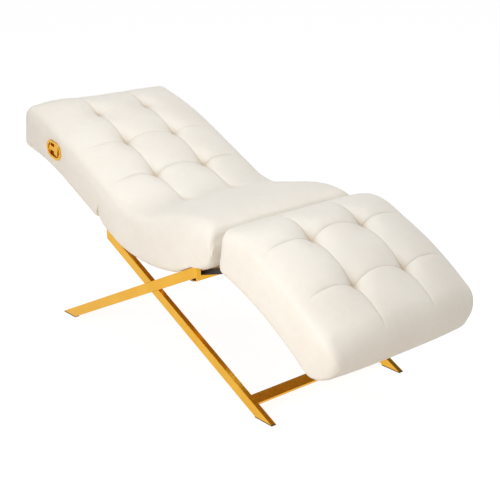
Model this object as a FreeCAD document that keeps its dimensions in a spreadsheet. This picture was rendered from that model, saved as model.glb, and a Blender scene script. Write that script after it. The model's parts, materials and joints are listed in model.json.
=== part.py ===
import FreeCAD, Part
import math
import os
import Sketcher

# Beauty treatment chair: three upholstered sections on a pair of gold X frames.
# +X points to the foot end, +Y to the lying person's left, +Z up; the floor is z = 0.
# Pieces are drawn about the crossing of the X frames, which stands at x = frame_x.

Vector = FreeCAD.Vector
doc = FreeCAD.newDocument("treatment_chair")
sheet = doc.addObject("Spreadsheet::Sheet", "sizes")

driving = {
    # X frames
    "frame_x": -73, "side_y": 300, "foot_span": 676, "arm_span": 285, "arm_height": 458,
    "tube_depth": 38, "tube_width": 19, "tube_wall": 1.5, "foot_cap": 3,
    # cross bars
    "floor_bar_depth": 40, "floor_bar_thick": 12, "floor_bar_x": 543.5,
    "seat_bar_depth": 38, "seat_bar_x": 216, "seat_bar_z": 387,
    "bolt_radius": 4, "bolt_head_radius": 7.5, "bolt_head_height": 5, "bolt_y": 180,
    "block_length": 30, "block_width": 60,
    # upholstery, seen along the chair and across it
    "half_width": 336, "top_corner": 28, "bottom_corner": 30, "crown": 25, "end_round": 30,
    "column_y": 112, "row_depth": 6, "column_depth": 7, "tuft_depth": 18, "side_draw": 4,
    # backrest line: straight, then curving to the head end
    "split_x": -249, "split_z": 645, "back_slope": 25.3, "back_straight": 222, "back_arc": 1300,
    "head_slope": 8.1, "back_thick": 172, "back_row_one": 189, "back_row_two": 396,
    # seat line: dip, rise and knee, over a round underside
    "seat_fall": 109, "dip_arc": 260, "rise_slope": 12, "seat_rise": 189, "knee_arc": 430, "knee_slope": 9,
    "seat_front_x": 418, "hull_x": 25, "hull_z": 389, "hull_arc": 740,
    "seat_row_one": 25, "seat_row_two": 231,
    # leg rest line, with a round nose at the foot end
    "leg_rear_x": 432, "leg_rear_z": 625, "crest_slope": 17, "crest_arc": 250, "leg_slope": 24,
    "leg_straight": 103, "leg_arc": 1000, "foot_slope": 40.4,
    "leg_hull_x": 94.9, "leg_hull_z": 526.9, "leg_hull_arc": 1200, "nose_bottom_x": 852,
    "leg_row_one": 229, "leg_row_two": 448,
    # wooden frames inside the upholstery
    "board_thick": 9, "rail_height": 50, "rail_thick": 18, "deck_thick": 9, "board_half": 285,
    "cavity_half": 287, "seat_rail_y": 262, "back_rail_y": 267.6, "low_rail_height": 25,
    # backrest hinge
    "pivot_depth": 36, "hinge_plate": 5, "hinge_gap": 0.6, "hinge_eye": 13, "pin_radius": 5,
    "pin_play": 0.05, "pin_head_radius": 9, "pin_head": 3, "recline": 40,
    # leg rest hinge
    "leg_pivot_x": 425, "leg_pivot_z": 470, "bracket_thick": 6,
    # gas spring
    "strut_seat_x": -120, "strut_seat_z": 455, "strut_back_run": 70, "strut_back_depth": 122,
    "strut_radius": 10, "strut_wall": 1.5, "strut_barrel": 215, "strut_rod": 4, "strut_eye": 9,
    "strut_pin": 4, "eye_width": 12, "slot_play": 3, "slot_slack": 1.5, "ear_thick": 4,
    # release handle on the near side of the backrest
    "handle_x": -588, "handle_z": 710, "handle_tilt": 12, "bezel_length": 104, "bezel_width": 72,
    "bezel_rim": 9, "bezel_proud": 4, "cup_depth": 34, "cup_wall": 2, "paddle_thick": 4,
    "paddle_pin": 2.5, "paddle_back": 34, "neck_length": 30, "neck_width": 18,
    "pull_length": 26, "pull_width": 42, "cable_radius": 2.5,
}
for row, (alias, value) in enumerate(driving.items(), 1):
    sheet.set("A%d" % row, alias)
    sheet.set("B%d" % row, str(value))
    sheet.setAlias("B%d" % row, alias)
doc.recompute()
size = {alias: float(sheet.get(alias)) for alias in driving}

tube_rise = size["arm_height"] / (size["foot_span"] + size["arm_span"])
tube_angle = math.degrees(math.atan(tube_rise))
nodes = {}


def keep(label, piece):
    piece.Label = label
    nodes[label] = piece
    return piece


def at(piece, x, y, z, turn=0, axis=(0, 1, 0)):
    spin = FreeCAD.Rotation(Vector(*axis), turn)
    piece.Placement = FreeCAD.Placement(Vector(x + size["frame_x"], y, z), spin)
    return piece


def bound(piece, **sizes):
    for name, formula in sizes.items():
        piece.setExpression(name, formula)
    return piece


def number(formula):
    if isinstance(formula, str):
        return float(sheet.evalExpression(formula.replace("sizes.", "")))
    return formula


def box(name, length, width, height):
    return bound(doc.addObject("Part::Box", name), Length=length, Width=width, Height=height)


def rod(name, radius, height):
    return bound(doc.addObject("Part::Cylinder", name), Radius=radius, Height=height)


def cut(name, base, tool):
    piece = doc.addObject("Part::Cut", name)
    piece.Base = base
    piece.Tool = tool
    return piece


def fuse(name, *pieces):
    piece = doc.addObject("Part::MultiFuse", name)
    piece.Shapes = list(pieces)
    return piece


def group(name, pieces):
    piece = doc.addObject("Part::Compound", name)
    piece.Links = list(pieces)
    return piece


def plane_of(body, role):
    return next(f for f in body.Origin.OriginFeatures if f.Role == role)


def outline(body, name, points, role="XZ_Plane"):
    # closed polygon whose corners are bound to the sheet
    sketch = body.newObject("Sketcher::SketchObject", name)
    sketch.AttachmentSupport = [(plane_of(body, role), "")]
    sketch.MapMode = "FlatFace"
    corners = [Vector(number(px), number(pz), 0) for px, pz in points]
    for here, there in zip(corners, corners[1:] + corners[:1]):
        sketch.addGeometry(Part.LineSegment(here, there), False)
    for i, point in enumerate(points):
        sketch.addConstraint(Sketcher.Constraint("Coincident", i, 2, (i + 1) % len(points), 1))
        for kind, formula in zip(("DistanceX", "DistanceY"), point):
            k = sketch.addConstraint(Sketcher.Constraint(kind, -1, 1, i, 1, number(formula)))
            if isinstance(formula, str):
                sketch.setExpression("Constraints[%d]" % k, formula)
    return sketch


def symmetric(body, kind, name, sketch, length):
    feature = body.newObject(kind, name)
    feature.Profile = sketch
    feature.SideType = "Symmetric"
    bound(feature, Length=length)
    return feature


def plate(name, points, thick):
    # flat plate in the XZ plane, its thickness centred on the body's own origin
    body = doc.addObject("PartDesign::Body", name)
    symmetric(body, "PartDesign::Pad", name + "_pad", outline(body, name + "_outline", points), thick)
    return body


def both_sides(name, build):
    return {side: build("%s_%s" % (name, side), sign) for side, sign in (("right", -1), ("left", 1))}


# X frames: on each side one long bar and one bar welded to it in two lengths
K = "(sizes.arm_height / (sizes.foot_span + sizes.arm_span))"
DROP = "(sizes.tube_depth * sqrt(1 + %s ^ 2))" % K
SKIN = "(sizes.tube_wall * sqrt(1 + %s ^ 2))" % K
FOOT = "(sizes.foot_cap / %s)" % K
HEEL = "((%s + sizes.foot_cap) / %s)" % (DROP, K)
MID = "(%s * sizes.foot_span)" % K


def tube_bar(name, points, hollow):
    body = plate(name, points, "sizes.tube_width")
    bore = outline(body, name + "_bore", hollow)
    symmetric(body, "PartDesign::Pocket", name + "_hollow", bore, "sizes.tube_width - 2 * sizes.tube_wall")
    return body


def hollow_run(low_x, high_x, mirror):
    # inner outline of the tube between two x, for the rising bar or its mirror image
    def corner(x, depth):
        rise = "(%s)" % x if mirror > 0 else "(-1 * (%s))" % x
        return x, "%s * (%s + sizes.foot_span) - %s" % (K, rise, depth)
    under = "(%s - %s)" % (DROP, SKIN)
    return [corner(low_x, SKIN), corner(high_x, SKIN), corner(high_x, under), corner(low_x, under)]


def long_bar(name, sign):
    points = [
        ("-sizes.foot_span + " + FOOT, "sizes.foot_cap"),
        ("sizes.arm_span", "sizes.arm_height"),
        ("sizes.arm_span", "sizes.arm_height - " + DROP),
        ("-sizes.foot_span + " + HEEL, "sizes.foot_cap"),
    ]
    bore = hollow_run("-sizes.foot_span - sizes.tube_depth", "sizes.arm_span - sizes.tube_wall", 1)
    return keep(name, at(tube_bar(name, points, bore), 0, sign * size["side_y"], 0))


def upper_bar(name, sign):
    points = [
        ("0", MID),
        ("-sizes.arm_span", "sizes.arm_height"),
        ("-sizes.arm_span", "sizes.arm_height - " + DROP),
        ("-%s / (2 * %s)" % (DROP, K), "%s - %s / 2" % (MID, DROP)),
    ]
    bore = hollow_run("-sizes.arm_span + sizes.tube_wall", "sizes.tube_depth", -1)
    return keep(name, at(tube_bar(name, points, bore), 0, sign * size["side_y"], 0))


def lower_bar(name, sign):
    points = [
        ("%s / (2 * %s)" % (DROP, K), "%s - %s / 2" % (MID, DROP)),
        ("sizes.foot_span - " + FOOT, "sizes.foot_cap"),
        ("sizes.foot_span - " + HEEL, "sizes.foot_cap"),
        ("0", "%s - %s" % (MID, DROP)),
    ]
    bore = hollow_run("-sizes.tube_depth", "sizes.foot_span + sizes.tube_depth", -1)
    return keep(name, at(tube_bar(name, points, bore), 0, sign * size["side_y"], 0))


both_sides("long_bar", long_bar)
both_sides("upper_bar", upper_bar)
both_sides("lower_bar", lower_bar)

caps = []
cap_start = size["foot_span"] - size["foot_cap"] / tube_rise
cap_length = number(DROP) / tube_rise
for end in (-1, 1):
    for sign in (-1, 1):
        cap = box("foot_cap", DROP + " / " + K, "sizes.tube_width", "sizes.foot_cap")
        left_x = -cap_start if end < 0 else cap_start - cap_length
        caps.append(at(cap, left_x, sign * size["side_y"] - size["tube_width"] / 2, 0))
keep("foot_caps", group("foot_caps", caps))

# cross bars between the inner faces of the two X frames
SPAN = "(2 * sizes.side_y - sizes.tube_width)"
span = number(SPAN)


def cross_tube(name, depth, thick, place):
    outer = place(box(name + "_outer", depth, SPAN, thick))
    inner = box(name + "_inner", depth + " - 2 * sizes.tube_wall", SPAN, thick + " - 2 * sizes.tube_wall")
    wall = outer.Placement.Rotation.multVec(Vector(size["tube_wall"], 0, size["tube_wall"]))
    inner.Placement = FreeCAD.Placement(outer.Placement.Base + wall, outer.Placement.Rotation)
    return keep(name, cut(name, outer, inner))


def floor_bar_place(end):
    def place(piece):
        # the bar lies flush in the slope of the leg's upper face
        lean = math.radians(tube_angle)
        top_x, top_z = size["floor_bar_x"], tube_rise * (size["foot_span"] - size["floor_bar_x"])
        low_x = top_x - size["floor_bar_thick"] * math.sin(lean)
        low_z = top_z - size["floor_bar_thick"] * math.cos(lean)
        if end > 0:
            return at(piece, low_x, -span / 2, low_z, tube_angle)
        far_x = low_x + size["floor_bar_depth"] * math.cos(lean)
        far_z = low_z - size["floor_bar_depth"] * math.sin(lean)
        return at(piece, -far_x, -span / 2, far_z, -tube_angle)
    return place


def seat_bar_place(start):
    def place(piece):
        return at(piece, start, -span / 2, size["seat_bar_z"])
    return place


cross_tube("foot_floor_bar", "sizes.floor_bar_depth", "sizes.floor_bar_thick", floor_bar_place(1))
cross_tube("head_floor_bar", "sizes.floor_bar_depth", "sizes.floor_bar_thick", floor_bar_place(-1))
for name, start in (("front_seat_bar", size["seat_bar_x"]),
                    ("rear_seat_bar", -size["seat_bar_x"] - size["seat_bar_depth"])):
    cross_tube(name, "sizes.seat_bar_depth", "sizes.tube_width", seat_bar_place(start))


class Line:
    # path in the XZ plane made of straight runs and arcs, carried on past either end
    def __init__(self, x, z, heading, runs):
        self.pieces = []
        for length, turn in runs:
            self.pieces.append((x, z, heading, length, turn))
            x, z, heading = self.step(x, z, heading, length, turn, length)
        self.length = sum(length for length, turn in runs)

    @staticmethod
    def step(x, z, heading, length, turn, run):
        start = math.radians(heading)
        if not turn:
            return x + run * math.cos(start), z + run * math.sin(start), heading
        radius = length / math.radians(turn)
        end = start + run / radius
        x += radius * (math.sin(end) - math.sin(start))
        z -= radius * (math.cos(end) - math.cos(start))
        return x, z, math.degrees(end)

    def point(self, run, lift=0.0, side=1):
        for x, z, heading, length, turn in self.pieces:
            if run <= length + 1e-9 or (x, z, heading, length, turn) == self.pieces[-1]:
                x, z, heading = self.step(x, z, heading, length, turn, run)
                angle = math.radians(heading)
                return x - side * lift * math.sin(angle), z + side * lift * math.cos(angle)
            run -= length

    def edges(self, low, high, lift, side):
        made, start = [], 0.0
        for i, (x, z, heading, length, turn) in enumerate(self.pieces):
            a = max(low, start) if i else low
            b = min(high, start + length) if i < len(self.pieces) - 1 else high
            if b - a > 1e-6:
                spots = [self.point(run, lift, side) for run in (a, (a + b) / 2, b)]
                ends = [Vector(x, 0, z) for x, z in spots]
                curve = Part.Arc(*ends) if turn else Part.LineSegment(ends[0], ends[2])
                made.append(curve.toShape())
            start += length
        return made


def ribbon(line, low, high, bottom, top, y_low, y_high, side=1):
    # solid between two lifts of a line, for a board or rail bent along it
    under = line.edges(low, high, bottom, side)
    over = line.edges(low, high, top, side)
    ends = []
    for run in (low, high):
        feet = [line.point(run, lift, side) for lift in (bottom, top)]
        ends.append(Part.LineSegment(*[Vector(x, 0, z) for x, z in feet]).toShape())
    wire = Part.Wire(Part.__sortEdges__(under + over + ends))
    solid = Part.Face(wire).extrude(Vector(0, y_high - y_low, 0))
    solid.translate(Vector(0, y_low, 0))
    return solid


def shaped(label, shape):
    piece = doc.addObject("Part::Feature", label)
    piece.Shape = shape
    shift = FreeCAD.Placement(Vector(size["frame_x"], 0, 0), FreeCAD.Rotation())
    piece.Placement = shift.multiply(piece.Placement)
    return keep(label, piece)


def arc_length(radius, turn):
    return radius * math.radians(turn)


# the lines that the three sections follow
back_turn = size["back_slope"] - size["head_slope"]
back_runs = [(size["back_straight"], 0), (arc_length(size["back_arc"], back_turn), back_turn)]
back_top = Line(size["split_x"], size["split_z"], 180 - size["back_slope"], back_runs)
back_foot = back_top.point(0, size["back_thick"], 1)
back_inner = size["back_arc"] - size["back_thick"]
back_low = Line(back_foot[0], back_foot[1], 180 - size["back_slope"],
                [(size["back_straight"], 0), (arc_length(back_inner, back_turn), back_turn)])

dip_turn = size["back_slope"] + size["rise_slope"]
knee_turn = size["rise_slope"] + size["knee_slope"]
seat_top = Line(size["split_x"], size["split_z"], -size["back_slope"], [
    (size["seat_fall"], 0), (arc_length(size["dip_arc"], dip_turn), dip_turn),
    (size["seat_rise"], 0), (arc_length(size["knee_arc"], knee_turn), -knee_turn)])


def hull_line(centre_x, low_z, radius, start_x, end_x):
    # round underside: hollow side up for the seat, crown up for the leg rest
    start = math.degrees(math.asin((start_x - centre_x) / abs(radius)))
    end = math.degrees(math.asin((end_x - centre_x) / abs(radius)))
    drop = radius - radius * math.cos(math.radians(start))
    way = math.copysign(1, radius)
    run = arc_length(abs(radius), end - start)
    return Line(start_x, low_z + drop, way * start, [(run, way * (end - start))])


hull_start = -318
seat_low = hull_line(size["hull_x"], size["hull_z"], size["hull_arc"], hull_start, size["seat_front_x"] - 8)
leg_low = hull_line(size["leg_hull_x"], size["leg_hull_z"], -size["leg_hull_arc"],
                    size["leg_rear_x"], size["nose_bottom_x"])
crest_turn = size["crest_slope"] + size["leg_slope"]
foot_turn = size["foot_slope"] - size["leg_slope"]
leg_top = Line(size["leg_rear_x"], size["leg_rear_z"], size["crest_slope"], [
    (arc_length(size["crest_arc"], crest_turn), -crest_turn), (size["leg_straight"], 0),
    (arc_length(size["leg_arc"], foot_turn), -foot_turn)])


def run_at_x(line, x):
    low, high = 0.0, line.length
    sign = 1 if line.point(high)[0] > line.point(low)[0] else -1
    for _ in range(60):
        middle = (low + high) / 2
        if sign * (line.point(middle)[0] - x) < 0:
            low = middle
        else:
            high = middle
    return low


# wooden frame of each section, bent along its underside
board = size["board_thick"]
rail_top = board + size["rail_height"]
deck_top = rail_top + size["deck_thick"]
low_rail_top = board + size["low_rail_height"]
rail = size["rail_thick"]


def section_frame(name, line, board_runs, rail_runs, rail_y, cross_rails, deck_slot, side=1):
    half = size["board_half"]
    shaped(name + "_board", ribbon(line, board_runs[0], board_runs[1], 0, board, -half, half, side))
    for end, sign in (("right", -1), ("left", 1)):
        low_y, high_y = sorted((sign * rail_y, sign * (rail_y - rail)))
        shaped("%s_rail_%s" % (name, end), ribbon(line, *rail_runs, board, rail_top, low_y, high_y, side))
    for rail_name, start, width, top in cross_rails:
        inner = rail_y - rail
        cross_rail = ribbon(line, start, start + width, board, top, -inner, inner, side)
        shaped("%s_%s" % (name, rail_name), cross_rail)
    deck = ribbon(line, *rail_runs, rail_top, deck_top, -rail_y, rail_y, side)
    if deck_slot:
        start = rail_runs[0] - 1
        deck = deck.cut(ribbon(line, start, deck_slot, board, deck_top + 1, -slot_half, slot_half, side))
    shaped(name + "_deck", deck)


def seat_at(x):
    return run_at_x(seat_low, x)


def leg_at(x):
    return run_at_x(leg_low, x)


# the decks are slotted for the gas spring
slot_half = 32
seat_rails = (seat_at(-240), seat_at(350))
section_frame("seat", seat_low, (seat_at(-268), seat_at(372)), seat_rails, size["seat_rail_y"],
              [("rear_rail", seat_at(-238), rail, low_rail_top),
               ("middle_rail", seat_at(-95), rail, rail_top),
               ("front_rail", seat_rails[1] - rail, rail, rail_top)], seat_at(-84))
back_rails = (30, back_low.length - 46)
section_frame("back", back_low, (12, back_low.length - 34), back_rails, size["back_rail_y"],
              [("lower_rail", 95, rail, rail_top),
               ("head_rail", back_rails[1] - rail, rail, rail_top)], 128, -1)
leg_rails = (leg_at(472), leg_at(800))
section_frame("leg", leg_low, (leg_at(486), leg_at(812)), leg_rails, size["seat_rail_y"] + size["hinge_gap"],
              [("rear_rail", leg_rails[0], rail, rail_top),
               ("foot_rail", leg_rails[1] - rail, rail, rail_top)], 0)


# upholstery: lofts through cross-sections of lines and arcs
def cross_section(top, bottom, middle_depth, column_depth, pinch, trim, crown_share, side_trim=None):
    up = Vector(top[0] - bottom[0], 0, top[1] - bottom[1])
    height = up.Length - 2 * trim
    up.normalize()
    base = Vector(bottom[0], 0, bottom[1]) + up * trim
    half = size["half_width"] - (trim if side_trim is None else side_trim) - pinch
    low_round = min(size["bottom_corner"], 0.3 * height)
    top_round = min(size["top_corner"], 0.35 * height)
    edge = half - top_round
    crown = crown_share * size["crown"] * min(1.0, height / 100)
    shoulder = height - top_round
    column = size["column_y"]
    panel_y = (edge + column) / 2

    def point(y, lift):
        return base + up * lift + Vector(0, y, 0)

    def lift_at(y, depth):
        return height + crown * (1 - (y / edge) ** 2) - depth

    bend = 1 - math.sqrt(0.5)
    profile = [
        (half - low_round, 0), (half - low_round * bend, low_round * bend), (half, low_round),
        (half, shoulder), (half - top_round * bend, shoulder + top_round * (1 - bend)),
        (edge, height),
        (panel_y, lift_at(panel_y, middle_depth)), (column, lift_at(column, column_depth)),
    ]
    right = [point(y, lift) for y, lift in profile]
    left = [point(-y, lift) for y, lift in profile]
    arcs = [Part.Arc(*right[0:3]), Part.LineSegment(right[2], right[3]), Part.Arc(*right[3:6]),
            Part.Arc(*right[5:8]), Part.Arc(right[7], point(0, lift_at(0, middle_depth)), left[7]),
            Part.Arc(left[7], left[6], left[5]), Part.Arc(left[5], left[4], left[3]),
            Part.LineSegment(left[3], left[2]), Part.Arc(left[2], left[1], left[0]),
            Part.LineSegment(left[0], right[0])]
    return Part.Wire([arc.toShape() for arc in arcs])


row_steps = (0.0, 0.18, 0.5, 0.82)
end_steps = (0.0, 0.12, 0.4, 1.0)
smooth_column = 1.0


def tuft_depths(place):
    # depth of the panel middles and of the column seams at a fraction of the way between two rows
    swell = math.sin(math.pi * place)
    middle = size["row_depth"] * (1 - swell)
    column = size["column_depth"] + (size["tuft_depth"] - size["column_depth"]) * (1 - swell)
    return middle, column, size["side_draw"] * (1 - swell)


def rows_between(rows):
    runs = []
    for low, high in zip(rows, rows[1:]):
        runs += [(low + step * (high - low), *tuft_depths(step)) for step in row_steps]
    return runs


def round_trim(step):
    radius = size["end_round"]
    return radius - math.sqrt(radius ** 2 - (radius * (1 - step)) ** 2) if step else 0.75 * radius


def end_runs(end, toward, column):
    # cross-sections of a rounded end, from the end inwards
    reach = toward * size["end_round"]
    return [(end + reach * step, 0.0, column, 0.0, round_trim(step)) for step in end_steps]


def crown_share(to_end, fade):
    # the crown dies away towards an end
    share = min(1.0, max(0.0, to_end / fade))
    return share * share * (3 - 2 * share)


def loft(sections):
    return Part.makeLoft(sections, True, True)


def prism(points, y_low, y_high):
    corners = [Vector(x, y_low, z) for x, z in points]
    return Part.Face(Part.makePolygon(corners + corners[:1])).extrude(Vector(0, y_high - y_low, 0))


def both_prisms(points, y_low, y_high):
    return [prism(points, y_low, y_high), prism(points, -y_high, -y_low)]


lean = math.radians(size["back_slope"])
back_way = Vector(-math.cos(lean), 0, math.sin(lean))
back_up = Vector(math.sin(lean), 0, math.cos(lean))
split = Vector(size["split_x"], 0, size["split_z"])
pivot = split - back_up * size["pivot_depth"]


def by_split(run, depth):
    # point by its run along the backrest from the split and its depth under the top line
    spot = split + back_way * run - back_up * depth
    return spot.x, spot.z


# the backrest and the seat part along the split; above the pivot both lean back by half the recline
half_gap = 0.6
reach = 120
lean_out = math.tan(math.radians(size["recline"] / 2 + 1))
groove_top = size["pivot_depth"] + 60
wall_low = size["back_thick"] + 60


def split_cutter(sign):
    return [by_split(sign * half_gap, wall_low), by_split(sign * half_gap, size["pivot_depth"]),
            by_split(sign * (half_gap + groove_top * lean_out), -60), by_split(-sign * reach, -60),
            by_split(-sign * reach, wall_low)]


def hinge_pockets(sign):
    # room for the hinge plates and the pivot head, open to the split
    spots = [(-5, 22), (74, 22), (80, 170), (54, 170), (-5, 76)]
    return both_prisms([by_split(sign * run, depth) for run, depth in spots], 256, 281)


back_end = back_top.length
head_fade = 160
back_rows = [-size["seat_row_one"], size["back_row_one"], size["back_row_two"], back_end + 70]
back_plan = [run for run in rows_between(back_rows) if run[0] < back_end - size["end_round"] * 1.05]
head_runs = end_runs(back_end, -1, size["column_depth"])
back_plan = [run + (0.0,) for run in back_plan] + head_runs[::-1]
back_sections = [cross_section(back_top.point(run), back_top.point(run, size["back_thick"], 1), *depths,
                               crown_share(back_end - run, head_fade)) for run, *depths in back_plan]
back_cushion = loft(back_sections)

strut_pocket = [by_split(-6, 60), by_split(135, 92), by_split(135, 140), by_split(-6, 140)]
cavity_top = deck_top + 1
cavity_half = size["cavity_half"]
back_cuts = [prism(split_cutter(1), -400, 400), prism(strut_pocket, -slot_half, slot_half),
             ribbon(back_low, 10, back_low.length - 32, -20, cavity_top, -cavity_half, cavity_half, -1)]
back_cuts += hinge_pockets(1)

# release handle: an oval bezel and cup let into the near side of the backrest
CUP_LENGTH = "(sizes.bezel_length - 2 * sizes.bezel_rim)"
CUP_WIDTH = "(sizes.bezel_width - 2 * sizes.bezel_rim)"
side_face = -size["half_width"] - 0.3


def on_handle(piece, x, y, z, spin=FreeCAD.Rotation()):
    tilt = FreeCAD.Rotation(Vector(0, 1, 0), size["handle_tilt"])
    centre = Vector(size["handle_x"] + size["frame_x"], 0, size["handle_z"])
    piece.Placement = FreeCAD.Placement(centre, tilt).multiply(FreeCAD.Placement(Vector(x, y, z), spin))
    return piece


along_y = FreeCAD.Rotation(Vector(1, 0, 0), -90)


def oval(name, length, width, depth, y):
    # oval block in the plane of the handle, its depth towards +Y
    reach = (number(length) - number(width)) / 2
    block = box(name + "_block", "%s - %s" % (length, width), depth, width)
    ends = [on_handle(rod(name + "_end", width + " / 2", depth), x, y, 0, along_y) for x in (-reach, reach)]
    return fuse(name, on_handle(block, -reach, y, -number(width) / 2), *ends)


def inset(formula):
    return "(%s - 2 * sizes.cup_wall)" % formula


rim = oval("bezel_rim_oval", "sizes.bezel_length", "sizes.bezel_width", "sizes.bezel_proud",
           side_face - size["bezel_proud"])
rim_hole = oval("bezel_hole_oval", inset(CUP_LENGTH), inset(CUP_WIDTH), "3 * sizes.bezel_proud",
                side_face - 2 * size["bezel_proud"])
keep("release_bezel", cut("release_bezel", rim, rim_hole))
cup_body = oval("cup_oval", CUP_LENGTH, CUP_WIDTH, "sizes.cup_depth", side_face)
cup_hollow = oval("cup_hollow_oval", inset(CUP_LENGTH), inset(CUP_WIDTH), "sizes.cup_depth",
                  side_face - size["cup_wall"])
cup_back = side_face + size["cup_depth"]
tab = on_handle(box("cup_tab", "16", "sizes.cup_wall", "44"), -8, cup_back, -48)
keep("release_cup", fuse("release_cup", cut("cup_shell", cup_body, cup_hollow), tab))

hole = oval("handle_hole_oval", CUP_LENGTH + " + 1", CUP_WIDTH + " + 1", "2 * sizes.cup_depth",
            side_face + 1 - size["cup_depth"])
tab_room = on_handle(box("tab_room", "24", "30", "60"), -12, cup_back - 3, -54)
doc.recompute()
for room in (hole, tab_room):
    room_shape = room.Shape.copy()
    room_shape.translate(Vector(-size["frame_x"], 0, 0))
    back_cuts.append(room_shape)
for tool in back_cuts:
    back_cushion = back_cushion.cut(tool)
shaped("back_cushion", back_cushion)

# pull paddle: a T with its neck hinged at the head end of the cup
paddle_x = -size["paddle_back"]
paddle_y = side_face + 3
paddle_face = paddle_y - size["paddle_thick"] / 2
neck_half = size["neck_width"] / 2
pin_half = 19
neck = on_handle(box("paddle_neck", "sizes.neck_length", "sizes.paddle_thick", "sizes.neck_width"),
                 paddle_x, paddle_face, -neck_half)
pull = on_handle(box("paddle_pull", "sizes.pull_length", "sizes.paddle_thick", "sizes.pull_width"),
                 paddle_x + size["neck_length"], paddle_face, -size["pull_width"] / 2)
barrel = on_handle(rod("paddle_barrel", "2 * sizes.paddle_pin", "sizes.neck_width"),
                   paddle_x, paddle_y, -neck_half)
bore = on_handle(rod("paddle_bore", "sizes.paddle_pin + sizes.pin_play", "sizes.neck_width + 2"),
                 paddle_x, paddle_y, -neck_half - 1)
keep("release_paddle", cut("release_paddle", fuse("paddle_solid", neck, pull, barrel), bore))
pin_rod = rod("paddle_pin_rod", "sizes.paddle_pin", "%d" % (2 * pin_half))
keep("paddle_pin", on_handle(pin_rod, paddle_x, paddle_y, -pin_half))

# seat cushion, from the split to the upright front
front_gap = size["seat_front_x"] - seat_top.point(seat_top.length)[0]
front_run = front_gap / math.cos(math.radians(size["knee_slope"]))
seat_top = Line(size["split_x"], size["split_z"], -size["back_slope"],
                [piece[3:] for piece in seat_top.pieces] + [(front_run, 0)])


def under_seat(run):
    share = (seat_top.point(run)[0] - size["split_x"]) / (size["seat_front_x"] - size["split_x"])
    return seat_low.point(share * seat_low.length)


# two rows of tufts, the second fainter, and from there a smooth top to the front
front_fade = 380
faint = 0.5
seat_plan = [(-28.0, *tuft_depths(0.75))] + rows_between([size["seat_row_one"], size["seat_row_two"]])
seat_plan.append((size["seat_row_two"], *[faint * depth for depth in tuft_depths(0)]))
seat_plan.append((290, 0.0, 3 * smooth_column, 0.0))
for run in (350, 430, 510, 590):
    seat_plan.append((run, 0.0, smooth_column, 0.0))
seat_plan = [run + (0.0,) for run in seat_plan] + end_runs(seat_top.length, -1, smooth_column)[::-1]
seat_sections = [cross_section(seat_top.point(run), under_seat(run), *depths,
                               crown_share(seat_top.length - run, front_fade)) for run, *depths in seat_plan]
seat_cushion = loft(seat_sections)

seat_strut_pocket = [(-96, 478), (-118, 478), (-300, 618), (-345, 618), (-345, 518), (-268, 498), (-96, 440)]
seat_cuts = [prism(split_cutter(-1), -400, 400), prism(seat_strut_pocket, -slot_half, slot_half),
             ribbon(seat_low, seat_at(-270), seat_at(374), -20, cavity_top, -cavity_half, cavity_half)]
seat_cuts += hinge_pockets(-1)
# the seat's lower rear edge is rounded
seat_cuts.append(prism([(-345, 440), (-345, 520), (-312, 508), (-309, 490), (-297, 474), (-268, 449)],
                       -400, 400))

# the arms of the X frames stand in notches that flare open to the side
arm_in = size["side_y"] - size["tube_width"] / 2 - 2
arm_out = arm_in + size["tube_width"] + 4
side_out = size["half_width"] + 12
notch_root = size["arm_span"] - 150
notch_low = -70
notch_top = 3
notch_flare = 0.57


def arm_notch(end, sign, section, past_tip):
    # a section of sideways places and heights over the arm, carried up along the arm
    foot = tube_rise * (notch_root + size["foot_span"])
    corners = [Vector(end * notch_root, sign * y, foot + lift) for y, lift in section]
    run = size["arm_span"] + past_tip - notch_root
    return Part.Face(Part.makePolygon(corners + corners[:1])).extrude(Vector(end * run, 0, tube_rise * run))


arm_section = [(arm_in, notch_low), (arm_in, notch_top), (arm_out, notch_top), (arm_out, notch_low)]
flare_top = notch_top + notch_flare * (side_out - arm_out)
flare_in = arm_out - 1
flare_section = [(flare_in, notch_low), (flare_in, notch_top), (side_out, flare_top), (side_out, notch_low)]
for sign in (-1, 1):
    seat_cuts += [arm_notch(end, sign, arm_section, 2) for end in (-1, 1)]
    seat_cuts += [arm_notch(-1, sign, flare_section, 2), arm_notch(1, sign, flare_section, 30)]
for tool in seat_cuts:
    seat_cushion = seat_cushion.cut(tool)
shaped("seat_cushion", seat_cushion)

# leg rest cushion, rounded at the knee and ending in a full round nose
leg_end = leg_top.length


def under_leg(run):
    return leg_low.point(run / leg_end * leg_low.length)


knee_fade = 130
leg_rows = [-60.0, size["leg_row_one"], size["leg_row_two"], leg_end + 70]
leg_plan = [run + (0.0,) for run in rows_between(leg_rows)
            if size["end_round"] * 1.05 < run[0] < leg_end - 20]
leg_plan = end_runs(0.0, 1, size["column_depth"]) + leg_plan
leg_sections = [cross_section(leg_top.point(run), under_leg(run), *depths, crown_share(run, knee_fade))
                for run, *depths in leg_plan]
nose_top, nose_low = leg_top.point(leg_end), under_leg(leg_end)
nose = math.dist(nose_top, nose_low) / 2
nose_way = ((nose_top[1] - nose_low[1]) / (2 * nose), (nose_low[0] - nose_top[0]) / (2 * nose))
for share in (0.0, 0.5, 0.8, 0.95, 0.99):
    ahead = share * nose
    trim = nose - math.sqrt(nose ** 2 - ahead ** 2)
    ends = [(x + ahead * nose_way[0], z + ahead * nose_way[1]) for x, z in (nose_top, nose_low)]
    fade = size["column_depth"] * (1 - share) + 0.5
    leg_sections.append(cross_section(*ends, 0.0, fade, 0.0, trim, 1 - share, 0.35 * trim))
leg_cushion = loft(leg_sections)
leg_pocket = [(420, 450), (480, 450), (480, 528), (420, 528)]
leg_cuts = [ribbon(leg_low, leg_at(462), leg_at(814), -20, cavity_top, -cavity_half, cavity_half)]
leg_cuts += both_prisms(leg_pocket, 250, 276)
for tool in leg_cuts:
    leg_cushion = leg_cushion.cut(tool)
shaped("leg_cushion", leg_cushion)


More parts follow.
